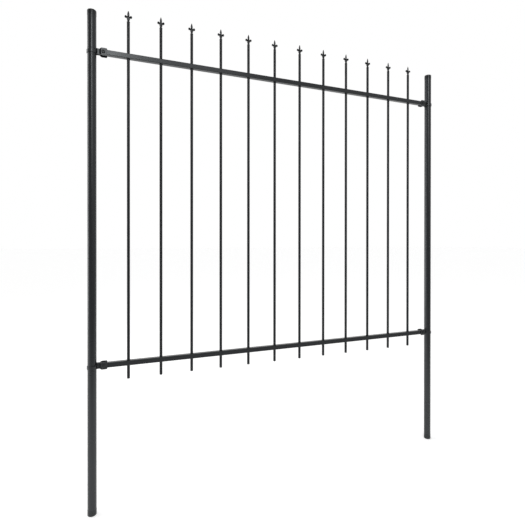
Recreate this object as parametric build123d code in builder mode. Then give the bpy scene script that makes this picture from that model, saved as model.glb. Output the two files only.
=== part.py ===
import os
from math import acos, atan2, cos, degrees, hypot, sin

from build123d import *

# A bay of garden fence: two round posts, two square rails and twelve round
# bars that pass through both rails and end in spear heads. Strap clamps hold
# the rails to the posts. The origin is on the foot of the left post, +X runs
# along the fence to the right post, the front faces -Y, and +Z is up.

# Posts, in millimetres like every size here
post_diameter = 34.0
post_wall = 1.5
post_height = 2000.0
buried_length = 525.0
post_radius = post_diameter / 2

# Caps, pushed over the head and the foot of each post
cap_end = 2.5
cap_skirt = 22.0
cap_wall = 0.8
cap_rounding = 4.0
cap_groove_reach = 13.0
cap_groove_width = 1.2
cap_groove_depth = 0.4
seat_clearance = 0.05

# Bars and the gaps between them
bar_count = 12
bar_diameter = 12.0
bar_wall = 1.0
bar_pitch = 130.0
end_gap = 137.5
bar_radius = bar_diameter / 2
bar_bore = bar_radius - bar_wall
post_spacing = (bar_count - 1) * bar_pitch + 2 * end_gap

# Plugs that close the lower ends of the bars
plug_head = 5.0
plug_chamfer = 0.8
plug_shank = 10.0

# Rails, square tubes that the bars pass through
rail_side = 20.0
rail_wall = 1.2
rail_corner = 2.0
rail_start = 37.0
clearance_hole_radius = bar_radius + 1.5
rail_above_bar_ends = 65.0
rail_spacing = 1250.0
rail_length = post_spacing - 2 * rail_start

# Heights above the foot of the posts
panel_height = 1502.0
bar_end_height = buried_length
bottom_rail_height = bar_end_height + rail_above_bar_ends
top_rail_height = bottom_rail_height + rail_spacing

# Spear heads, measured up from the top of the bar
spear_height = 47.0
tenon_length = 12.0
collar_height = 2.0
collar_radius = 6.4
neck_height = 4.0
neck_radius = 3.9
belly_height = 15.5
belly_radius = 7.0
shoulder_height = 24.5
shoulder_radius = 3.8
blade_root_height = 20.0
blade_wide_height = 32.0
blade_taper_height = 41.0
blade_half_width = 4.7
blade_half_thickness = 3.1
blade_root_share = 0.78
blade_taper_share = 0.6
blade_tip_share = 0.17
barb_height = 22.6
barb_reach = 10.5
barb_radius = 2.2
barb_ball_radius = 3.2

# Strap clamps, bent round the post with an ear on each face of the rail
strap_thickness = 2.5
band_height = 12.0
band_drop = 4.0
neck_start = 12.0
neck_full = 17.5
neck_full_height = 23.0
waist_reach = 19.0
waist_end = 29.0
waist_half_gap = 3.5
waist_bend = 2.5
ear_start = 33.5
ear_bend = 3.0
ear_end = 57.0
ear_height = 29.0
ear_corner = 3.0
bolt_reach = 42.5
bolt_hole_radius = 3.3

# Ribs pressed out of the neck of a clamp, and the notch between them
rib_rise = 0.8
rib_width = 4.0
rib_start = 17.5
rib_start_height = 7.2
rib_end = 28.5
rib_end_height = 3.8
notch_start = 14.5
notch_half_height = 3.6
notch_end = 22.5
notch_corner = 0.7

bar_places = [end_gap + index * bar_pitch for index in range(bar_count)]

os.makedirs("parts", exist_ok=True)


def write(piece, name):
    """Name a finished piece after its node and write it."""
    piece.label = name
    export_step(piece, f"parts/{name}.step")


def make_post(name, x):
    """A round tube between its two caps."""
    with BuildPart() as post:
        with BuildSketch(Plane((x, 0, cap_end))):
            Circle(post_radius)
            Circle(post_radius - post_wall, mode=Mode.SUBTRACT)
        extrude(amount=post_height - 2 * cap_end)
    write(post.part, name)


def make_post_cap(name, x, end, inward):
    """A thin sleeve with a closed, rounded end and a shallow ring groove."""
    skirt_radius = post_radius + seat_clearance + cap_wall
    with BuildPart() as cap:
        with BuildSketch(Plane((x, 0, end), x_dir=(1, 0, 0), z_dir=(0, -inward, 0))):
            with BuildLine():
                flat = Line((0, 0), (skirt_radius - cap_rounding, 0))
                corner = JernArc(flat @ 1, (1, 0), cap_rounding, 90)
                Polyline(
                    corner @ 1,
                    (skirt_radius, cap_groove_reach),
                    (skirt_radius - cap_groove_depth, cap_groove_reach),
                    (skirt_radius - cap_groove_depth, cap_groove_reach + cap_groove_width),
                    (skirt_radius, cap_groove_reach + cap_groove_width),
                    (skirt_radius, cap_skirt),
                    (skirt_radius - cap_wall, cap_skirt),
                    (skirt_radius - cap_wall, cap_end),
                    (0, cap_end),
                    (0, 0),
                )
            make_face()
        revolve(axis=Axis((x, 0, 0), (0, 0, 1)))
    write(cap.part, name)


def make_rail(name, z, inward):
    """A square tube with holes for the bars, wider in the wall that faces the gap between rails."""
    inside = rail_side - 2 * rail_wall
    with BuildPart() as rail:
        with BuildSketch(Plane((rail_start, 0, z), x_dir=(0, 1, 0), z_dir=(1, 0, 0))):
            RectangleRounded(rail_side, rail_side, rail_corner)
            RectangleRounded(inside, inside, rail_corner - rail_wall, mode=Mode.SUBTRACT)
        extrude(amount=rail_length)
        with BuildSketch(Plane.XY.offset(z)):
            with Locations(*[(x, 0) for x in bar_places]):
                Circle(bar_radius + seat_clearance)
        extrude(amount=rail_side, both=True, mode=Mode.SUBTRACT)
        with BuildSketch(Plane.XY.offset(z)):
            with Locations(*[(x, 0) for x in bar_places]):
                Circle(clearance_hole_radius)
        extrude(amount=inward * rail_side, mode=Mode.SUBTRACT)
        with BuildSketch(Plane.XZ):
            with Locations((bolt_reach, z), (post_spacing - bolt_reach, z)):
                Circle(bolt_hole_radius)
        extrude(amount=rail_side, both=True, mode=Mode.SUBTRACT)
    write(rail.part, name)


def make_bar(name, x):
    """A round tube from the plug at its lower end up to the spear head."""
    with BuildPart() as bar:
        with BuildSketch(Plane((x, 0, bar_end_height + plug_head))):
            Circle(bar_radius)
            Circle(bar_bore, mode=Mode.SUBTRACT)
        extrude(amount=panel_height - spear_height - plug_head)
    write(bar.part, name)


def make_bar_plugs(name):
    """Plugs as wide as the bars, each with a shank inside its bar."""
    with BuildPart() as plugs:
        with BuildSketch(Plane.XY.offset(bar_end_height)):
            with Locations(*[(x, 0) for x in bar_places]):
                Circle(bar_radius)
        extrude(amount=plug_head)
        chamfer(plugs.edges().group_by(Axis.Z)[0], plug_chamfer)
        with BuildSketch(Plane.XY.offset(bar_end_height + plug_head)):
            with Locations(*[(x, 0) for x in bar_places]):
                Circle(bar_bore - seat_clearance)
        extrude(amount=plug_shank)
    write(plugs.part, name)


def make_spear(name, x):
    """A cast head: tenon, collar, round belly, two ball-ended barbs and a blade."""
    base = bar_end_height + panel_height - spear_height
    upright = Axis((x, 0, 0), (0, 0, 1))
    with BuildPart() as spear:
        with BuildSketch(Plane((x, 0, base), x_dir=(1, 0, 0), z_dir=(0, -1, 0))):
            with BuildLine():
                Polyline(
                    (0, shoulder_height),
                    (0, -tenon_length),
                    (bar_bore - seat_clearance, -tenon_length),
                    (bar_bore - seat_clearance, 0),
                    (collar_radius, 0),
                    (collar_radius, collar_height),
                    (neck_radius, neck_height),
                )
                flare = Line((neck_radius, neck_height), (belly_radius, belly_height))
                TangentArc(flare @ 1, (shoulder_radius, shoulder_height), tangent=flare % 1)
                Line((shoulder_radius, shoulder_height), (0, shoulder_height))
            make_face()
        revolve(axis=upright)
        for height, share in (
            (blade_root_height, blade_root_share),
            (blade_wide_height, 1.0),
            (blade_taper_height, blade_taper_share),
            (spear_height, blade_tip_share),
        ):
            with BuildSketch(Plane((x, 0, base + height))):
                with BuildLine():
                    Polyline(
                        (blade_half_width * share, 0),
                        (0, blade_half_thickness * share),
                        (-blade_half_width * share, 0),
                        (0, -blade_half_thickness * share),
                        close=True,
                    )
                make_face()
        loft(ruled=True)
        barb_plane = Plane((x, 0, base + barb_height), x_dir=(1, 0, 0), z_dir=(0, -1, 0))
        with BuildSketch(barb_plane):
            Rectangle(2 * barb_reach, 2 * barb_radius)
            with Locations((-barb_reach, 0), (barb_reach, 0)):
                Circle(barb_ball_radius)
            split(bisect_by=Plane.XZ)
        revolve(axis=Axis(barb_plane.origin, barb_plane.x_dir))
    write(spear.part, name)


def bend_strap(plan, thickness):
    """A strap of full ear height, bent so that its inner face lies on post and rail."""
    band_radius = post_radius + seat_clearance + thickness / 2
    waist = (waist_reach, waist_half_gap + strap_thickness / 2)
    ear_depth = (rail_side + thickness) / 2
    leave_angle = atan2(waist[1], waist[0]) + acos(band_radius / hypot(*waist))
    leave = (band_radius * cos(leave_angle), band_radius * sin(leave_angle))
    with BuildPart() as strap:
        with BuildSketch(plan):
            with BuildLine():
                CenterArc((0, 0), band_radius, degrees(leave_angle), 360 - 2 * degrees(leave_angle))
                for depth in (1, -1):
                    FilletPolyline(
                        (leave[0], depth * leave[1]),
                        (waist[0], depth * waist[1]),
                        (waist_end, depth * waist[1]),
                        (ear_start, depth * ear_depth),
                        (ear_end, depth * ear_depth),
                        radius=[waist_bend, waist_bend, ear_bend],
                    )
            trace(line_width=thickness)
        extrude(amount=ear_height / 2, both=True)
    return strap.part


def make_clamp(name, x, z, direction):
    """A strap bent round the post, drawn in to a ribbed neck and bolted through the rail."""
    plan = Plane((x, 0, z), x_dir=(direction, 0, 0))
    side = Plane((x, 0, z), x_dir=(direction, 0, 0), z_dir=(0, -direction, 0))
    with BuildPart() as ribs:
        add(bend_strap(plan, strap_thickness + rib_rise))
        with BuildSketch(side):
            with BuildLine():
                Polyline(
                    (rib_start, rib_start_height + rib_width / 2),
                    (rib_end, rib_end_height + rib_width / 2),
                    (rib_end, rib_end_height - rib_width / 2),
                    (rib_start, rib_start_height - rib_width / 2),
                    close=True,
                )
            make_face()
            mirror(about=Plane.XZ)
        extrude(amount=post_diameter, both=True, mode=Mode.INTERSECT)
    with BuildPart() as clamp:
        add(bend_strap(plan, strap_thickness))
        with BuildSketch(side):
            with BuildLine():
                Polyline(
                    (neck_start, 0),
                    (neck_start, band_height / 2),
                    (neck_full, neck_full_height / 2),
                    (waist_end, neck_full_height / 2),
                    (ear_start + ear_bend, ear_height / 2),
                    (ear_end - ear_corner, ear_height / 2),
                    (ear_end, ear_height / 2 - ear_corner),
                    (ear_end, 0),
                    close=True,
                )
            make_face()
            mirror(about=Plane.XZ)
            with Locations((neck_full - post_diameter, -band_drop)):
                Rectangle(2 * post_diameter, band_height)
        extrude(amount=post_diameter, both=True, mode=Mode.INTERSECT)
        add(ribs.part)
        with BuildSketch(side) as notch:
            with BuildLine():
                Polyline(
                    (notch_start, notch_half_height),
                    (notch_end, 0),
                    (notch_start, -notch_half_height),
                    close=True,
                )
            make_face()
            fillet(notch.vertices(), notch_corner)
        extrude(amount=post_diameter, both=True, mode=Mode.SUBTRACT)
        with BuildSketch(side):
            with Locations((bolt_reach, 0)):
                Circle(bolt_hole_radius)
        extrude(amount=post_diameter, both=True, mode=Mode.SUBTRACT)
    write(clamp.part, name)


for side, x, direction in (("left", 0, 1), ("right", post_spacing, -1)):
    make_post(f"post_{side}", x)
    make_post_cap(f"post_cap_{side}", x, post_height, -1)
    make_post_cap(f"foot_cap_{side}", x, 0, 1)
    make_clamp(f"clamp_top_{side}", x, top_rail_height, direction)
    make_clamp(f"clamp_bottom_{side}", x, bottom_rail_height, direction)

make_rail("top_rail", top_rail_height, -1)
make_rail("bottom_rail", bottom_rail_height, 1)

for index, x in enumerate(bar_places, start=1):
    make_bar(f"bar_{index:02d}", x)
    make_spear(f"spear_{index:02d}", x)
make_bar_plugs("bar_plugs")
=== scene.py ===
"""Finish, fasteners and stage for a spear top fence bay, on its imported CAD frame."""

from math import cos, pi, radians, sin, sqrt, tau

import bmesh
import bpy
from bpy.props import FloatProperty, FloatVectorProperty, IntProperty, PointerProperty
from mathutils import Matrix, Vector


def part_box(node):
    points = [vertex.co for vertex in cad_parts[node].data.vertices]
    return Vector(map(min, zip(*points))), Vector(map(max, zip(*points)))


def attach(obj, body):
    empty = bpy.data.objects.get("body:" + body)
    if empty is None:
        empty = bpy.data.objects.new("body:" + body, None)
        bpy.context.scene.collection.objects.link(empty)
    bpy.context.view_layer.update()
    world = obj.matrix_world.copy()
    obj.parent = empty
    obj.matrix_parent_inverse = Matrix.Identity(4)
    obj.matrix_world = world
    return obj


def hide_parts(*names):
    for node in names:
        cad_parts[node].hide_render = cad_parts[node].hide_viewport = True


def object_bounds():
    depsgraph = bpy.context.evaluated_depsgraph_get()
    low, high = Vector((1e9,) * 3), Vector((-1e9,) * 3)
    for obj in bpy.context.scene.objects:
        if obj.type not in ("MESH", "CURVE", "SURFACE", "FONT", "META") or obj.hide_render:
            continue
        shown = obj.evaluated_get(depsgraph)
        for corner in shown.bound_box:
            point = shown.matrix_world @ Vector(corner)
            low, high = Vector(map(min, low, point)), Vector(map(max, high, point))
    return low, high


bl_info = {
    "name": "Spear Top Fence Finish",
    "version": (1, 0, 0),
    "blender": (4, 5, 0),
    "location": "3D View > Sidebar > Fence",
    "description": "Coats the fence bay and adds its bolts, welds, cast heads, caps and a studio",
    "category": "Object",
}

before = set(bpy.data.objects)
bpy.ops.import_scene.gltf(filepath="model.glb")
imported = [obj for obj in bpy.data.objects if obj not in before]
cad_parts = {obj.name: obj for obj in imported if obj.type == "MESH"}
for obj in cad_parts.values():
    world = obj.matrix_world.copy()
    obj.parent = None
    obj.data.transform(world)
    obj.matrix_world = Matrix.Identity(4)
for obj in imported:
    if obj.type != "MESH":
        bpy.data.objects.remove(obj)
cad_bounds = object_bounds()

MM = 0.001
PHOTO_SIDE = 525
SENSOR_WIDTH = 36.0
STRAP_THICKNESS = 2.5 * MM
BOLT_FROM_EAR_END = 14.5 * MM
HEAD_TENON = 12.0 * MM


def nodes_named(start):
    """The names of the CAD nodes that begin with a word, in order."""
    return sorted(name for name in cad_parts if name.startswith(start))


POSTS = ("post_left", "post_right")
RAILS = ("top_rail", "bottom_rail")
CLAMPS = nodes_named("clamp_")
BARS = nodes_named("bar_0") + nodes_named("bar_1")
SPEARS = nodes_named("spear_")
CAPS = nodes_named("post_cap_") + nodes_named("foot_cap_")


def millimetres(name, description, default):
    """A length property, given in millimetres and kept in metres."""
    return FloatProperty(
        name=name, description=description, default=default * MM, min=0.0, unit="LENGTH"
    )


def share(name, description, default):
    """A property that runs from none to all."""
    return FloatProperty(
        name=name, description=description, default=default, min=0.0, max=1.0, subtype="FACTOR"
    )


def level(name, description, default):
    """A brightness, where 1 is white."""
    return FloatProperty(name=name, description=description, default=default, min=0.0)


def angle(name, description, default):
    """An angle property, given in degrees and kept in radians."""
    return FloatProperty(
        name=name, description=description, default=radians(default), subtype="ANGLE",
        unit="ROTATION",
    )


def colour(name, description, default):
    """A linear colour property."""
    return FloatVectorProperty(
        name=name, description=description, default=default, min=0.0, max=1.0, size=3,
        subtype="COLOR",
    )


class FENCE_PG_coat(bpy.types.PropertyGroup):
    """The powder coat of the steel, and the plastic of the caps and plugs."""

    tint: colour("Coat colour", "Anthracite powder coat", (0.0062, 0.0070, 0.0080))
    thin_tint: colour("Thin coat colour", "Coat drawn thin over an edge", (0.018, 0.019, 0.021))
    dust_tint: colour("Dust colour", "Dust on faces that look up", (0.16, 0.155, 0.145))
    gloss_tint: colour("Gloss colour", "Slightly cool tint of the coat's gloss", (0.93, 0.98, 1.0))
    roughness: share("Roughness", "Middle roughness of the satin coat", 0.27)
    dust: share("Dust", "How much dust lies on faces that look up", 0.05)
    peel_size: millimetres("Peel size", "Width of one ripple of the orange peel", 2.4)
    peel_depth: millimetres("Peel depth", "Height of the orange peel", 0.012)
    cast_size: millimetres("Cast grain size", "Width of the grain of the cast heads", 1.1)
    cast_depth: millimetres("Cast grain depth", "Depth of the grain of the cast heads", 0.05)
    plastic_tint: colour("Plastic colour", "Moulded caps and plugs", (0.0066, 0.0072, 0.0080))
    plastic_roughness: share("Plastic roughness", "Roughness of the moulded pieces", 0.28)


class FENCE_PG_bolt(bpy.types.PropertyGroup):
    """The M6 bolts that close the clamps."""

    head_diameter: millimetres("Head diameter", "Round head on the front", 12.0)
    head_height: millimetres("Head height", "Height of the round head", 3.6)
    key_width: millimetres("Key width", "Across the flats of the hexagon recess", 4.0)
    key_depth: millimetres("Key depth", "Depth of the hexagon recess", 2.2)
    shank_diameter: millimetres("Shank diameter", "Outside of the thread", 6.0)
    thread_depth: millimetres("Thread depth", "Depth of the thread", 0.5)
    thread_pitch: millimetres("Thread pitch", "From one turn of the thread to the next", 1.0)
    washer_diameter: millimetres("Washer diameter", "Outside of each washer", 14.5)
    washer_thickness: millimetres("Washer thickness", "Thickness of each washer", 1.0)
    nut_width: millimetres("Nut width", "Across the flats of the nut", 10.0)
    nut_height: millimetres("Nut height", "Height of the nut", 4.4)
    thread_end: millimetres("Thread end", "Thread that stands out of the nut", 1.4)
    tint: colour("Bolt colour", "Blackened steel of the bolts", (0.016, 0.0165, 0.017))
    roughness: share("Bolt roughness", "Roughness of the blackened steel", 0.34)


class FENCE_PG_cap(bpy.types.PropertyGroup):
    """The moulded caps, drawn thin so that they sit almost flush on the posts."""

    wall: millimetres("Wall", "How far the skirt stands out from the post", 0.45)
    rounding: millimetres("Rounding", "Radius of the end's rim", 4.0)
    groove_reach: millimetres("Groove reach", "From the end to the ring groove", 13.0)
    groove_width: millimetres("Groove width", "Width of the ring groove", 1.4)
    groove_depth: millimetres("Groove depth", "Depth of the ring groove", 0.4)
    lip: millimetres("Lip", "Slope at the open end of the skirt", 0.3)
    gap: millimetres("Gap", "Between the post and the open end of the skirt", 0.05)


class FENCE_PG_weld(bpy.types.PropertyGroup):
    """The small weld beads round each bar."""

    leg: millimetres("Leg", "Height and width of a bead", 1.7)
    ripple: share("Ripple", "How far a bead swells and narrows", 0.16)
    ripples: IntProperty(name="Ripples", description="Swellings round one bar", default=11, min=3)


class FENCE_PG_head(bpy.types.PropertyGroup):
    """The cast heads: the solids' forms, softened, with slightly fuller barbs and pressed flats."""

    voxel: millimetres("Voxel", "Cell of the remesh that melts the forms together", 0.36)
    kept: share("Kept faces", "Share of the remeshed faces that is kept", 0.38)
    softening: IntProperty(name="Softening", description="Rounds of smoothing", default=3, min=0)


class FENCE_PG_stage(bpy.types.PropertyGroup):
    """The camera and the studio."""

    lens_pixels: FloatProperty(
        name="Lens", description="Focal length in pixels of the photograph", default=400.92
    )
    turn: angle("Turn", "How far the camera looks along the fence", 21.429)
    tilt: angle("Tilt", "How far the camera looks up", -0.163)
    roll: angle("Roll", "How far the camera leans to the left", 0.034)
    camera_right: millimetres("Camera right", "From the left post along the fence", 48.8)
    camera_out: millimetres("Camera distance", "From the fence to the camera", 1727.3)
    camera_height: millimetres("Camera height", "Above the feet of the posts", 1086.8)
    axis_row: FloatProperty(
        name="Axis row", description="Row of the photograph that the lens points at", default=242.28
    )
    floor_tint: colour("Floor colour", "Plain pale floor under the fence", (0.80, 0.80, 0.80))
    apron_tint: colour("Apron colour", "Greyer floor in front of it", (0.33, 0.33, 0.33))
    room: level("Room", "Soft light from all round", 0.72)
    floor_lift: level("Floor lift", "What the floor adds where it is seen", 0.42)
    apron_lift: level("Apron lift", "What the greyer floor adds, so that it is seen as pale", 0.84)
    front_left: level("Front left", "What the coat mirrors on the left in front", 0.22)
    front_right: level("Front right", "What the coat mirrors on the right in front", 0.68)
    left_wall: level("Left wall", "What the far left adds to that", 0.4)
    overhead: level("Overhead", "What the coat mirrors high above", 0.12)
    backdrop: level("Backdrop", "White that the coat mirrors behind the fence", 1.0)
    wide_box: level("Wide softbox", "Brightness of the wide softbox in front", 1.15)
    small_box: level("Small softbox", "Brightness of the small softbox in front", 5.8)
    side_box: level("Side softbox", "Brightness of the softbox behind on the left", 2.9)


def settings(name):
    """The settings of one group, held by the scene."""
    return getattr(bpy.context.scene, f"fence_{name}")


def add_group(name, sockets):
    """A shader node group with the named inputs and outputs, and its two end nodes."""
    group = bpy.data.node_groups.new(name, "ShaderNodeTree")
    for label, direction, default in sockets:
        socket = group.interface.new_socket(
            name=label, in_out=direction, socket_type="NodeSocketFloat"
        )
        if default is not None:
            socket.default_value = default
    return group, group.nodes.new("NodeGroupInput"), group.nodes.new("NodeGroupOutput")


def feed(tree, socket, value):
    """Links a socket to another, or writes a plain value on it."""
    if isinstance(value, bpy.types.NodeSocket):
        tree.links.new(value, socket)
    else:
        socket.default_value = value


def math_node(tree, operation, first, second, clamp=False):
    """A math node fed by sockets or plain numbers. Returns its output."""
    node = tree.nodes.new("ShaderNodeMath")
    node.operation = operation
    node.use_clamp = clamp
    feed(tree, node.inputs[0], first)
    feed(tree, node.inputs[1], second)
    return node.outputs[0]


def noise_node(tree, vector, scale, detail, roughness=0.5):
    """A noise texture. Returns its value."""
    node = tree.nodes.new("ShaderNodeTexNoise")
    tree.links.new(vector, node.inputs["Vector"])
    feed(tree, node.inputs["Scale"], scale)
    node.inputs["Detail"].default_value = detail
    node.inputs["Roughness"].default_value = roughness
    return node.outputs["Fac"]


def range_node(tree, value, low, high, new_low=0.0, new_high=1.0):
    """Maps a value from one range to another, smoothly and with its ends held."""
    node = tree.nodes.new("ShaderNodeMapRange")
    node.interpolation_type = "SMOOTHSTEP"
    tree.links.new(value, node.inputs["Value"])
    node.inputs["From Min"].default_value = low
    node.inputs["From Max"].default_value = high
    node.inputs["To Min"].default_value = new_low
    node.inputs["To Max"].default_value = new_high
    return node.outputs["Result"]


def mix_colours(tree, factor, first, second):
    """Mixes two colours, given as sockets or plain values."""
    node = tree.nodes.new("ShaderNodeMix")
    node.data_type = "RGBA"
    tree.links.new(factor, node.inputs["Factor"])
    colours = [socket for socket in node.inputs if socket.type == "RGBA"]
    for socket, value in zip(colours, (first, second)):
        feed(tree, socket, value if isinstance(value, bpy.types.NodeSocket) else (*value, 1.0))
    return next(socket for socket in node.outputs if socket.type == "RGBA")


def split_vector(tree, vector):
    """The X, Y and Z of a vector socket."""
    node = tree.nodes.new("ShaderNodeSeparateXYZ")
    tree.links.new(vector, node.inputs[0])
    return node.outputs


def build_orange_peel():
    """Height, mottle and gloss of a sprayed and baked powder coat."""
    group, ins, outs = add_group("Orange Peel", (
        ("Size", "INPUT", 0.002),
        ("Grit", "INPUT", 0.15),
        ("Height", "OUTPUT", None),
        ("Mottle", "OUTPUT", None),
        ("Gloss", "OUTPUT", None),
    ))
    place = group.nodes.new("ShaderNodeTexCoord").outputs["Object"]
    fine = math_node(group, "DIVIDE", 1.0, ins.outputs["Size"])
    ripples = noise_node(group, place, fine, detail=1.5, roughness=0.45)
    finer = math_node(group, "MULTIPLY", fine, 5.0)
    grit = noise_node(group, place, finer, detail=1.0)
    rough = math_node(group, "MULTIPLY", grit, ins.outputs["Grit"])
    group.links.new(math_node(group, "ADD", ripples, rough), outs.inputs["Height"])
    mottle = noise_node(group, place, scale=34.0, detail=4.0, roughness=0.6)
    group.links.new(mottle, outs.inputs["Mottle"])
    gloss = noise_node(group, place, scale=9.0, detail=3.0, roughness=0.55)
    group.links.new(gloss, outs.inputs["Gloss"])
    return group


def build_thin_edges():
    """Mask of sharp outer edges, where a powder coat draws thin."""
    group, ins, outs = add_group("Thin Edges", (
        ("Break Up", "INPUT", 0.5),
        ("Mask", "OUTPUT", None),
    ))
    geometry = group.nodes.new("ShaderNodeNewGeometry")
    place = group.nodes.new("ShaderNodeTexCoord").outputs["Object"]
    edges = range_node(group, geometry.outputs["Pointiness"], 0.52, 0.62)
    specks = noise_node(group, place, scale=120.0, detail=3.0)
    patches = math_node(group, "SUBTRACT", specks, 0.5)
    broken = math_node(group, "MULTIPLY", patches, ins.outputs["Break Up"])
    usual_strength = 0.8
    strength = math_node(group, "ADD", broken, usual_strength, clamp=True)
    group.links.new(math_node(group, "MULTIPLY", edges, strength, clamp=True), outs.inputs["Mask"])
    return group


def build_settled_dust():
    """Mask of dust on faces that look up, in soft patches."""
    group, ins, outs = add_group("Settled Dust", (
        ("Amount", "INPUT", 0.1),
        ("Mask", "OUTPUT", None),
    ))
    geometry = group.nodes.new("ShaderNodeNewGeometry")
    place = group.nodes.new("ShaderNodeTexCoord").outputs["Object"]
    height = split_vector(group, geometry.outputs["Normal"])["Z"]
    upward = range_node(group, height, 0.35, 0.95)
    patches = noise_node(group, place, scale=60.0, detail=6.0, roughness=0.65)
    film = range_node(group, patches, 0.3, 0.75, new_low=0.35)
    lying = math_node(group, "MULTIPLY", upward, film)
    mask = math_node(group, "MULTIPLY", lying, ins.outputs["Amount"])
    group.links.new(mask, outs.inputs["Mask"])
    return group


SHARED_GROUPS = {
    "Orange Peel": build_orange_peel,
    "Thin Edges": build_thin_edges,
    "Settled Dust": build_settled_dust,
}


def place_group(tree, name, **values):
    """Places a shared group in a material with that material's own values."""
    node = tree.nodes.new("ShaderNodeGroup")
    node.node_tree = bpy.data.node_groups.get(name) or SHARED_GROUPS[name]()
    for label, value in values.items():
        node.inputs[label].default_value = value
    return node.outputs


def baked_coat(name, tint, roughness, peel_size, peel_depth, grit=0.15, thin_tint=None, shine=0.5):
    """A baked coat: mottled colour, uneven gloss, orange peel, thin edges and dust."""
    coat = settings("coat")
    material = bpy.data.materials.new(name)
    material.use_nodes = True
    tree = material.node_tree
    shader = tree.nodes["Principled BSDF"]
    peel = place_group(tree, "Orange Peel", Size=peel_size, Grit=grit)
    edges = place_group(tree, "Thin Edges")
    dusting = place_group(tree, "Settled Dust", Amount=coat.dust)
    mottling = 0.16
    deep = tuple(channel * (1 - mottling) for channel in tint)
    pale = tuple(channel * (1 + mottling) for channel in tint)
    mottle = range_node(tree, peel["Mottle"], 0.3, 0.7)
    base = mix_colours(tree, mottle, deep, pale)
    base = mix_colours(tree, edges["Mask"], base, tuple(thin_tint or coat.thin_tint))
    base = mix_colours(tree, dusting["Mask"], base, tuple(coat.dust_tint))
    tree.links.new(base, shader.inputs["Base Color"])
    shinier, duller = 0.03, 0.04
    gloss = range_node(tree, peel["Gloss"], 0.3, 0.7, roughness - shinier, roughness + duller)
    matted = math_node(tree, "ADD", gloss, dusting["Mask"], clamp=True)
    tree.links.new(matted, shader.inputs["Roughness"])
    shader.inputs["Specular IOR Level"].default_value = shine
    shader.inputs["Specular Tint"].default_value = (*coat.gloss_tint, 1.0)
    bump = tree.nodes.new("ShaderNodeBump")
    bump.inputs["Distance"].default_value = peel_depth
    tree.links.new(peel["Height"], bump.inputs["Height"])
    tree.links.new(bump.outputs["Normal"], shader.inputs["Normal"])
    return material


def powder_coat(name, duller=0.0, shine=0.5):
    """The satin powder coat of the steel, a little duller or shinier on some pieces."""
    coat = settings("coat")
    return baked_coat(
        name, tuple(coat.tint), coat.roughness + duller,
        coat.peel_size, coat.peel_depth, shine=shine,
    )


def moulded_plastic(name):
    """The fine matt plastic of the caps and plugs."""
    coat = settings("coat")
    return baked_coat(
        name, tuple(coat.plastic_tint), coat.plastic_roughness,
        peel_size=0.9 * MM, peel_depth=0.03 * MM, grit=0.6, thin_tint=coat.plastic_tint,
    )


def dress(names, material):
    """Gives CAD nodes a material in their own slots."""
    for name in names:
        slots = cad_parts[name].material_slots
        if not slots:
            raise RuntimeError(f"{name} has no material slot")
        for each in slots:
            each.material = material


def hexagon_reach(flats, bearing):
    """How far a hexagon reaches at a bearing, from its width across the flats."""
    sector = pi / 3
    return flats / 2 / cos((bearing + sector / 2) % sector - sector / 2)


def past_corners(flats):
    """A radius just past the corners of a hexagon, so that only its flats cut."""
    return flats / sqrt(3) * 1.01


def turn(mesh, placing, profile, sides=48):
    """Turns (radius, height) points about the Z axis of a placing matrix.

    A third value holds a point inside a hexagon of that width across the flats.
    """
    rings = []
    for radius, height, *flats in profile:
        ring = []
        for step in range(sides):
            bearing = tau * step / sides
            reach = min(radius, hexagon_reach(flats[0], bearing)) if flats else radius
            ring.append(Vector((reach * cos(bearing), reach * sin(bearing), height)))
        if radius == 0:
            rings.append([mesh.verts.new(placing @ ring[0])] * sides)
        else:
            rings.append([mesh.verts.new(placing @ point) for point in ring])
    for low, high in zip(rings, rings[1:]):
        for step in range(sides):
            after = (step + 1) % sides
            corners = list(dict.fromkeys((low[step], low[after], high[after], high[step])))
            if len(corners) > 2:
                mesh.faces.new(corners)


def mesh_data(mesh, name, material, smooth_below):
    """Closes a bmesh into mesh data, smooth but for its sharp edges."""
    bmesh.ops.recalc_face_normals(mesh, faces=mesh.faces)
    data = bpy.data.meshes.new(name)
    mesh.to_mesh(data)
    mesh.free()
    data.materials.append(material)
    data.shade_smooth()
    data.set_sharp_from_angle(angle=radians(smooth_below))
    return data


def add_piece(name, data, replaced=None):
    """Adds a piece that rides on the fence, in place of a CAD node where one is named."""
    piece = bpy.data.objects.new(name, data)
    bpy.context.scene.collection.objects.link(piece)
    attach(piece, "root")
    if replaced:
        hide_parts(replaced)
    return piece


def clamp_bolt_places():
    """The name of each clamp, with the X and the Z of its bolt."""
    places = []
    fence_middle = (cad_bounds[0][0] + cad_bounds[1][0]) / 2
    for name in CLAMPS:
        low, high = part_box(name)
        on_left = (low[0] + high[0]) / 2 < fence_middle
        x = high[0] - BOLT_FROM_EAR_END if on_left else low[0] + BOLT_FROM_EAR_END
        places.append((name, x, (low[2] + high[2]) / 2))
    return places


def ear_face():
    """How far the outer faces of the ears stand from the middle of the fence."""
    low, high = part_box("top_rail")
    return (high[1] - low[1]) / 2 + STRAP_THICKNESS


def turn_washer(mesh, placing, outer, bore, thickness):
    """A flat washer with its rim just broken."""
    rim = 0.15 * MM
    turn(mesh, placing, (
        (bore, 0.0), (outer - rim, 0.0), (outer, rim), (outer, thickness - rim),
        (outer - rim, thickness), (bore, thickness), (bore, 0.0),
    ))


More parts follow.
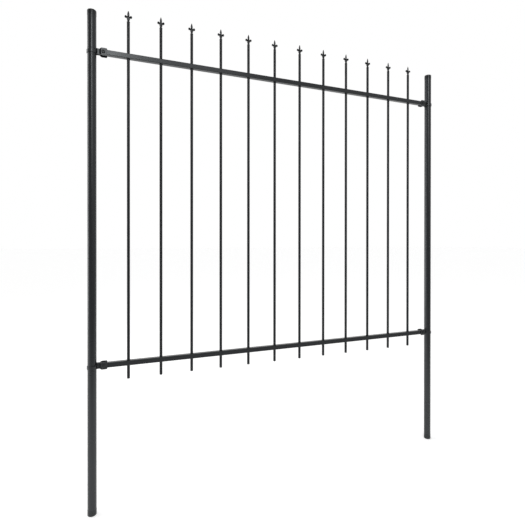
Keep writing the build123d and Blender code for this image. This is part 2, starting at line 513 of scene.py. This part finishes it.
def turn_head(mesh, placing, bolt):
    """A round head with a hexagon recess."""
    radius = bolt.head_diameter / 2
    flat_top = 0.36 * bolt.head_diameter
    key_corner = past_corners(bolt.key_width)
    key_bottom = bolt.head_height - bolt.key_depth
    lead_width = 0.25 * MM
    lead_depth = 0.2 * MM
    drill_point = 0.6 * MM
    dome = [
        (flat_top + (radius - flat_top) * cos(radians(a)), bolt.head_height * sin(radians(a)))
        for a in range(12, 91, 13)
    ]
    turn(mesh, placing, (
        (0.0, 0.0), (radius, 0.0), *dome,
        (key_corner + lead_width, bolt.head_height),
        (key_corner, bolt.head_height - lead_depth, bolt.key_width),
        (key_corner, key_bottom, bolt.key_width),
        (0.0, key_bottom - drill_point),
    ))


def turn_nut(mesh, placing, bolt):
    """A hexagon nut, chamfered on both faces."""
    corner = past_corners(bolt.nut_width)
    bore_gap = 0.05 * MM
    bore = bolt.shank_diameter / 2 + bore_gap
    face = bolt.nut_width / 2 * 0.96
    chamfer = 0.72 * MM
    countersink = 0.4 * MM
    turn(mesh, placing, (
        (bore, 0.0), (face, 0.0), (corner, chamfer, bolt.nut_width),
        (corner, bolt.nut_height - chamfer, bolt.nut_width), (face, bolt.nut_height),
        (bore + countersink, bolt.nut_height), (bore, bolt.nut_height - countersink), (bore, 0.0),
    ), sides=72)


def turn_thread_end(mesh, placing, bolt):
    """The end of the bolt past the nut, with its thread and a chamfered tip."""
    crest = bolt.shank_diameter / 2
    root = crest - bolt.thread_depth
    height = -1.5 * bolt.thread_pitch
    end = bolt.thread_end
    tip = 0.5 * MM
    profile = [(0.0, height)]
    while height < end - 1.2 * bolt.thread_pitch:
        profile += [(root, height), (crest, height + bolt.thread_pitch / 2)]
        height += bolt.thread_pitch
    profile += [(root, height), (crest, end - tip), (root, end), (0.0, end)]
    turn(mesh, placing, profile)


def ring_bead(mesh, centre, up, bar_radius, phase):
    """A weld bead laid round a bar on the face of a rail."""
    weld = settings("weld")
    section = ((0.0, 0.0), (1.0, 0.0), (0.86, 0.34), (0.58, 0.66), (0.28, 0.9), (0.0, 1.0))
    sunk = 0.05 * MM
    steps = 6 * weld.ripples
    rings = []
    for step in range(steps):
        bearing = tau * step / steps
        swell = 1 + weld.ripple * sin(weld.ripples * bearing + phase)
        swell += weld.ripple * 0.6 * sin(3 * bearing + 2 * phase)
        ring = []
        for out, rise in section:
            radius = bar_radius - sunk + out * weld.leg * swell
            height = up * (rise * weld.leg * swell - sunk)
            ring.append(mesh.verts.new(
                centre + Vector((radius * cos(bearing), radius * sin(bearing), height))
            ))
        rings.append(ring)
    for ring, following in zip(rings, rings[1:] + rings[:1]):
        for index in range(len(section)):
            after = (index + 1) % len(section)
            mesh.faces.new((ring[index], following[index], following[after], ring[after]))


def turn_cap(mesh, placing, post_radius, skirt):
    """A post cap with a rounded rim, a ring groove and a thin lip, from its closed end inwards."""
    cap = settings("cap")
    radius = post_radius + cap.wall
    groove_end = cap.groove_reach + cap.groove_width
    flat = radius - cap.rounding
    rim = [
        (flat + cap.rounding * sin(radians(a)), cap.rounding * (1 - cos(radians(a))))
        for a in range(0, 91, 9)
    ]
    turn(mesh, placing, (
        (0.0, 0.0), *rim, (radius, cap.groove_reach),
        (radius - cap.groove_depth, cap.groove_reach + cap.lip),
        (radius - cap.groove_depth, groove_end - cap.lip),
        (radius, groove_end), (radius, skirt - cap.lip), (post_radius + cap.gap, skirt),
    ), sides=96)


def turn_head_body(mesh):
    """The round part of a spear head, pressed flat in front and behind above its neck."""
    tenon = [(0.0, -1.0), (4.9, -1.0), (4.9, 0.0)]
    collar = [(6.25, 0.0), (6.4, 0.2), (6.4, 1.7), (6.1, 2.1), (4.5, 3.4)]
    neck_radius, neck_height = 3.9, 4.0
    belly_radius, belly_height = 7.0, 15.5
    flare_steps = 5
    flare = []
    for step in range(flare_steps + 1):
        share_up = step / flare_steps
        flare.append((
            neck_radius + (belly_radius - neck_radius) * share_up,
            neck_height + (belly_height - neck_height) * share_up,
        ))
    dome_out, dome_height = -0.2, 16.2
    dome_radius, dome_rise = 7.24, 1.16
    dome = []
    for degrees_up in range(6, 88, 9):
        out = dome_radius * cos(radians(degrees_up))
        rise = dome_rise * dome_radius * sin(radians(degrees_up))
        dome.append((dome_out + out, dome_height + rise))
    top = (0.0, 24.6)
    turn(mesh, Matrix.Identity(4), (*tenon, *collar, *flare, *dome, top), sides=64)
    pressed = 5.0
    for vert in mesh.verts:
        if vert.co.z > neck_height:
            vert.co.y = max(-pressed, min(pressed, vert.co.y))


def loft_head_blade(mesh):
    """The leaf-shaped point of a spear head, with a flat down its middle on both faces."""
    blade = (
        (18.0, 3.6, 2.2), (24.0, 3.9, 2.3), (28.0, 4.4, 2.4), (32.0, 4.7, 2.4), (36.0, 4.1, 2.3),
        (41.0, 2.82, 1.86), (44.5, 1.75, 1.2), (46.6, 0.8, 0.6), (47.0, 0.35, 0.3),
    )
    flat = 0.55
    outline = ((1, 0), (flat, 1), (-flat, 1), (-1, 0), (-flat, -1), (flat, -1))
    rings = []
    for height, wide, thick in blade:
        rings.append([mesh.verts.new((x * wide, y * thick, height)) for x, y in outline])
    for low, high in zip(rings, rings[1:]):
        for step in range(len(low)):
            after = (step + 1) % len(low)
            mesh.faces.new((low[step], low[after], high[after], high[step]))
    mesh.faces.new(rings[0][::-1])
    mesh.faces.new(rings[-1])


def turn_head_barbs(mesh):
    """The two arms of a spear head, each with a round end."""
    barb_height = 22.0
    reach, ball, arm = 10.2, 4.8, 2.5
    taller = Matrix.Scale(1.12, 4, (1, 0, 0))
    waist = [(0.0, 2.0), (arm + 0.5, 2.0), (arm, 5.0), (arm, 6.6)]
    knob = [(ball * sin(radians(a)), reach - ball * cos(radians(a))) for a in range(33, 180, 11)]
    for side in (1, -1):
        outward = Matrix.Rotation(side * pi / 2, 4, "Y") @ taller
        placing = Matrix.Translation((0, 0, barb_height)) @ outward
        turn(mesh, placing, (*waist, *knob, (0.0, reach + ball)), sides=40)


def shell_of_head():
    """The forms of a spear head as overlapping closed shells, in millimetres."""
    mesh = bmesh.new()
    turn_head_body(mesh)
    loft_head_blade(mesh)
    turn_head_barbs(mesh)
    bmesh.ops.recalc_face_normals(mesh, faces=mesh.faces)
    return mesh


def melted_head(material):
    """One cast head: its forms melted together, softened and thinned, as mesh data."""
    head = settings("head")
    mesh = shell_of_head()
    data = bpy.data.meshes.new("head_shells")
    mesh.to_mesh(data)
    mesh.free()
    rough = bpy.data.objects.new("head_shells", data)
    bpy.context.scene.collection.objects.link(rough)
    remesh = rough.modifiers.new("melt", "REMESH")
    remesh.mode = "VOXEL"
    remesh.voxel_size = head.voxel / MM
    smooth = rough.modifiers.new("soften", "SMOOTH")
    smooth.factor = 0.5
    smooth.iterations = head.softening
    thin = rough.modifiers.new("thin", "DECIMATE")
    thin.ratio = head.kept
    bpy.context.view_layer.update()
    evaluated = rough.evaluated_get(bpy.context.evaluated_depsgraph_get())
    cast = bpy.data.meshes.new_from_object(evaluated)
    bpy.data.objects.remove(rough)
    bpy.data.meshes.remove(data)
    cast.name = "cast_head"
    cast.transform(Matrix.Scale(MM, 4))
    cast.materials.clear()
    cast.materials.append(material)
    cast.shade_smooth()
    return cast


class FENCE_OT_coat_posts(bpy.types.Operator):
    """Coat the two round posts"""

    bl_idname = "fence.coat_posts"
    bl_label = "Coat Posts"

    def execute(self, context):
        dress(POSTS, powder_coat("post_coat"))
        return {"FINISHED"}


class FENCE_OT_coat_rails(bpy.types.Operator):
    """Coat the two square rails"""

    bl_idname = "fence.coat_rails"
    bl_label = "Coat Rails"

    def execute(self, context):
        dress(RAILS, powder_coat("rail_coat", duller=-0.03))
        return {"FINISHED"}


class FENCE_OT_coat_bars(bpy.types.Operator):
    """Coat the round bars"""

    bl_idname = "fence.coat_bars"
    bl_label = "Coat Bars"

    def execute(self, context):
        dress(BARS, powder_coat("bar_coat", duller=0.03, shine=0.25))
        return {"FINISHED"}


class FENCE_OT_coat_clamps(bpy.types.Operator):
    """Coat the pressed strap clamps"""

    bl_idname = "fence.coat_clamps"
    bl_label = "Coat Clamps"

    def execute(self, context):
        dress(CLAMPS, powder_coat("clamp_coat", duller=0.03, shine=0.6))
        return {"FINISHED"}


class FENCE_OT_finish_caps(bpy.types.Operator):
    """Finish the moulded post caps and bar plugs"""

    bl_idname = "fence.finish_caps"
    bl_label = "Finish Caps And Plugs"

    def execute(self, context):
        plastic = moulded_plastic("cap_plastic")
        dress(["bar_plugs"], plastic)
        low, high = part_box(POSTS[0])
        post_radius = (high[0] - low[0]) / 2
        for name in CAPS:
            low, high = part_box(name)
            x = (low[0] + high[0]) / 2
            at_foot = name.startswith("foot")
            placing = Matrix.Translation((x, 0.0, low[2] if at_foot else high[2]))
            if not at_foot:
                placing = placing @ Matrix.Rotation(pi, 4, "X")
            mesh = bmesh.new()
            turn_cap(mesh, placing, post_radius, high[2] - low[2])
            data = mesh_data(mesh, f"moulded_{name}", plastic, smooth_below=40)
            add_piece(f"moulded_{name}", data, name)
        return {"FINISHED"}


class FENCE_OT_cast_heads(bpy.types.Operator):
    """Cast a spear head for the top of each bar"""

    bl_idname = "fence.cast_heads"
    bl_label = "Cast Spear Heads"

    def execute(self, context):
        coat = settings("coat")
        duller = 0.05
        material = baked_coat(
            "cast_coat", tuple(coat.tint), coat.roughness + duller,
            coat.cast_size, coat.cast_depth, grit=0.4,
        )
        cast = melted_head(material)
        for name in SPEARS:
            low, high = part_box(name)
            number = name.rsplit("_", 1)[1]
            head = add_piece(f"cast_head_{number}", cast, name)
            head.location = ((low[0] + high[0]) / 2, 0.0, low[2] + HEAD_TENON)
        return {"FINISHED"}


class FENCE_OT_fit_bolts(bpy.types.Operator):
    """Fit a bolt, two washers and a nut to each clamp"""

    bl_idname = "fence.fit_bolts"
    bl_label = "Fit Clamp Bolts"

    def execute(self, context):
        bolt = settings("bolt")
        steel = baked_coat(
            "bolt_black", tuple(bolt.tint), bolt.roughness,
            peel_size=1.5 * MM, peel_depth=0.01 * MM, thin_tint=(0.06, 0.06, 0.062),
        )
        face = ear_face()
        washer = bolt.washer_diameter / 2
        bore_gap = 0.2 * MM
        bore = bolt.shank_diameter / 2 + bore_gap
        for name, x, z in clamp_bolt_places():
            mesh = bmesh.new()
            for side, rest in ((-1, turn_head), (1, turn_nut)):
                outward = Matrix.Rotation(-side * pi / 2, 4, "X")
                on_ear = Matrix.Translation((x, side * face, z)) @ outward
                turn_washer(mesh, on_ear, washer, bore, bolt.washer_thickness)
                on_washer = on_ear @ Matrix.Translation((0, 0, bolt.washer_thickness))
                rest(mesh, on_washer, bolt)
                if side > 0:
                    on_nut = on_washer @ Matrix.Translation((0, 0, bolt.nut_height))
                    turn_thread_end(mesh, on_nut, bolt)
            data = mesh_data(mesh, f"bolt_{name}", steel, smooth_below=32)
            add_piece(name.replace("clamp", "bolt"), data)
        return {"FINISHED"}


class FENCE_OT_lay_welds(bpy.types.Operator):
    """Lay a weld bead round each bar, on the outer face of each rail"""

    bl_idname = "fence.lay_welds"
    bl_label = "Lay Weld Beads"

    def execute(self, context):
        material = powder_coat("weld_coat", duller=0.05)
        for rail, up in (("top_rail", 1), ("bottom_rail", -1)):
            low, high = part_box(rail)
            mesh = bmesh.new()
            for index, name in enumerate(BARS):
                bar_low, bar_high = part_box(name)
                radius = (bar_high[0] - bar_low[0]) / 2
                height = high[2] if up > 0 else low[2]
                centre = Vector(((bar_low[0] + bar_high[0]) / 2, 0.0, height))
                ring_bead(mesh, centre, up, radius, phase=1.7 * index + up)
            data = mesh_data(mesh, f"welds_{rail}", material, smooth_below=60)
            add_piece(f"welds_{rail}", data)
        return {"FINISHED"}


class FENCE_OT_build_stage(bpy.types.Operator):
    """Set the camera, floor, surround and soft lights"""

    bl_idname = "fence.build_stage"
    bl_label = "Build Stage"

    def execute(self, context):
        build_camera()
        build_floor()
        build_surround()
        build_lights()
        return {"FINISHED"}


def build_camera():
    """An almost level camera whose frame is shifted down, so that the posts stay upright in it."""
    stage = settings("stage")
    data = bpy.data.cameras.new("photo_camera")
    data.sensor_width = SENSOR_WIDTH
    data.sensor_fit = "HORIZONTAL"
    data.lens = SENSOR_WIDTH * stage.lens_pixels / PHOTO_SIDE
    data.shift_y = (stage.axis_row - PHOTO_SIDE / 2) / PHOTO_SIDE
    data.clip_end = 200.0
    camera = bpy.data.objects.new("photo_camera", data)
    camera.location = (stage.camera_right, -stage.camera_out, stage.camera_height)
    turned = Matrix.Rotation(-stage.turn, 3, "Z") @ Matrix.Rotation(pi / 2 + stage.tilt, 3, "X")
    camera.rotation_euler = (turned @ Matrix.Rotation(stage.roll, 3, "Z")).to_euler()
    bpy.context.scene.collection.objects.link(camera)
    bpy.context.scene.camera = camera


def build_floor():
    """A pale floor, seen as white where no shadow falls, that the coat mirrors greyer in front."""
    stage = settings("stage")
    reach = 60.0
    data = bpy.data.meshes.new("floor")
    data.from_pydata(
        [(-reach, -reach, 0), (reach, -reach, 0), (reach, reach, 0), (-reach, reach, 0)],
        [], [(0, 1, 2, 3)],
    )
    material = bpy.data.materials.new("floor_pale")
    material.use_nodes = True
    tree = material.node_tree
    shader = tree.nodes["Principled BSDF"]
    place = tree.nodes.new("ShaderNodeTexCoord").outputs["Object"]
    grey_before, pale_behind = -2.4, -0.5
    pale = range_node(tree, split_vector(tree, place)["Y"], grey_before, pale_behind)
    tint = mix_colours(tree, pale, tuple(stage.apron_tint), tuple(stage.floor_tint))
    tree.links.new(tint, shader.inputs["Base Color"])
    shader.inputs["Roughness"].default_value = 0.9
    shader.inputs["Specular IOR Level"].default_value = 0.1
    shader.inputs["Emission Color"].default_value = (1.0, 1.0, 1.0, 1.0)
    rays = tree.nodes.new("ShaderNodeLightPath").outputs
    seen = math_node(tree, "ADD", rays["Is Camera Ray"], rays["Is Transmission Ray"], clamp=True)
    known = math_node(tree, "ADD", seen, rays["Is Glossy Ray"], clamp=True)
    near = math_node(tree, "MULTIPLY", math_node(tree, "MULTIPLY", known, pale), stage.floor_lift)
    front = math_node(tree, "MULTIPLY", seen, math_node(tree, "SUBTRACT", 1.0, pale))
    front = math_node(tree, "MULTIPLY", front, stage.apron_lift)
    tree.links.new(math_node(tree, "ADD", near, front), shader.inputs["Emission Strength"])
    data.materials.append(material)
    floor = bpy.data.objects.new("floor", data)
    bpy.context.scene.collection.objects.link(floor)


def build_surround():
    """White behind the fence, a plain soft light, and a room of soft greys for the gloss."""
    stage = settings("stage")
    world = bpy.data.worlds.new("studio")
    bpy.context.scene.world = world
    world.use_nodes = True
    tree = world.node_tree
    background = tree.nodes["Background"]
    background.inputs["Color"].default_value = (1.0, 1.0, 1.0, 1.0)
    rays = tree.nodes.new("ShaderNodeLightPath").outputs
    direction = tree.nodes.new("ShaderNodeTexCoord").outputs["Generated"]
    along, away, up = split_vector(tree, direction)
    ahead = math_node(
        tree, "ADD", math_node(tree, "MULTIPLY", along, sin(stage.turn)),
        math_node(tree, "MULTIPLY", away, cos(stage.turn)),
    )
    backdrop = range_node(tree, ahead, 0.45, 0.75)
    room = range_node(tree, along, 0.05, 0.6, stage.front_left, stage.front_right)
    left_wall = range_node(tree, along, -0.95, -0.80, stage.left_wall, 0.0)
    room = math_node(tree, "ADD", room, left_wall)
    low = range_node(tree, up, 0.45, 0.75, new_low=1.0, new_high=0.0)
    high = math_node(tree, "MULTIPLY", math_node(tree, "SUBTRACT", 1.0, low), stage.overhead)
    room = math_node(tree, "ADD", math_node(tree, "MULTIPLY", room, low), high)
    rest = math_node(tree, "MULTIPLY", room, math_node(tree, "SUBTRACT", 1.0, backdrop))
    white = math_node(tree, "MULTIPLY", backdrop, stage.backdrop)
    studio = math_node(tree, "ADD", rest, white)
    mirrored = math_node(tree, "MULTIPLY", studio, rays["Is Glossy Ray"])
    seen = math_node(tree, "ADD", rays["Is Camera Ray"], rays["Is Transmission Ray"], clamp=True)
    known = math_node(tree, "ADD", seen, rays["Is Glossy Ray"], clamp=True)
    soft = math_node(tree, "MULTIPLY", math_node(tree, "SUBTRACT", 1.0, known), stage.room)
    total = math_node(tree, "ADD", math_node(tree, "ADD", seen, mirrored), soft)
    tree.links.new(total, background.inputs["Strength"])


def add_softbox(name, width, height, radiance, place, target):
    """A rectangular soft light of a given brightness, aimed at a point."""
    data = bpy.data.lights.new(name, "AREA")
    data.shape = "RECTANGLE"
    data.size = width
    data.size_y = height
    data.energy = radiance * pi * width * height
    lamp = bpy.data.objects.new(name, data)
    lamp.location = place
    aim = Vector(target) - Vector(place)
    lamp.rotation_euler = aim.to_track_quat("-Z", "Y").to_euler()
    bpy.context.scene.collection.objects.link(lamp)


def build_lights():
    """Two softboxes high in front and a tall one behind on the left."""
    stage = settings("stage")
    add_softbox(
        "wide_box", width=3.4, height=2.8, radiance=stage.wide_box,
        place=(0.5, -4.7, 3.6), target=(0.5, 0.0, 3.6),
    )
    add_softbox(
        "small_box", width=1.3, height=1.3, radiance=stage.small_box,
        place=(-0.3, -4.6, 3.9), target=(-0.3, 0.0, 3.9),
    )
    add_softbox(
        "side_box", width=3.2, height=4.0, radiance=stage.side_box,
        place=(-3.6, 1.9, 2.0), target=(0.8, 0.0, 2.0),
    )


class FENCE_PT_finish(bpy.types.Panel):
    """Lists the pieces of the fence and the stage"""

    bl_label = "Spear Top Fence"
    bl_idname = "FENCE_PT_finish"
    bl_space_type = "VIEW_3D"
    bl_region_type = "UI"
    bl_category = "Fence"

    def draw(self, context):
        for operator in OPERATORS:
            self.layout.operator(operator.bl_idname)


OPERATORS = (
    FENCE_OT_coat_posts,
    FENCE_OT_coat_rails,
    FENCE_OT_coat_bars,
    FENCE_OT_coat_clamps,
    FENCE_OT_finish_caps,
    FENCE_OT_cast_heads,
    FENCE_OT_fit_bolts,
    FENCE_OT_lay_welds,
    FENCE_OT_build_stage,
)
SETTINGS = {
    "coat": FENCE_PG_coat,
    "bolt": FENCE_PG_bolt,
    "cap": FENCE_PG_cap,
    "weld": FENCE_PG_weld,
    "head": FENCE_PG_head,
    "stage": FENCE_PG_stage,
}


def register():
    """Registers the settings, the operators and the panel."""
    for name, group in SETTINGS.items():
        bpy.utils.register_class(group)
        setattr(bpy.types.Scene, f"fence_{name}", PointerProperty(type=group))
    for item in (*OPERATORS, FENCE_PT_finish):
        bpy.utils.register_class(item)


def unregister():
    """Takes away what register added."""
    for item in reversed((*OPERATORS, FENCE_PT_finish)):
        bpy.utils.unregister_class(item)
    for name, group in reversed(SETTINGS.items()):
        delattr(bpy.types.Scene, f"fence_{name}")
        bpy.utils.unregister_class(group)


def main():
    """Makes every piece and the stage, in order."""
    bpy.context.scene.view_settings.view_transform = "Standard"
    register()
    for operator in OPERATORS:
        group, action = operator.bl_idname.split(".")
        getattr(getattr(bpy.ops, group), action)()


if __name__ == "__main__":
    main()
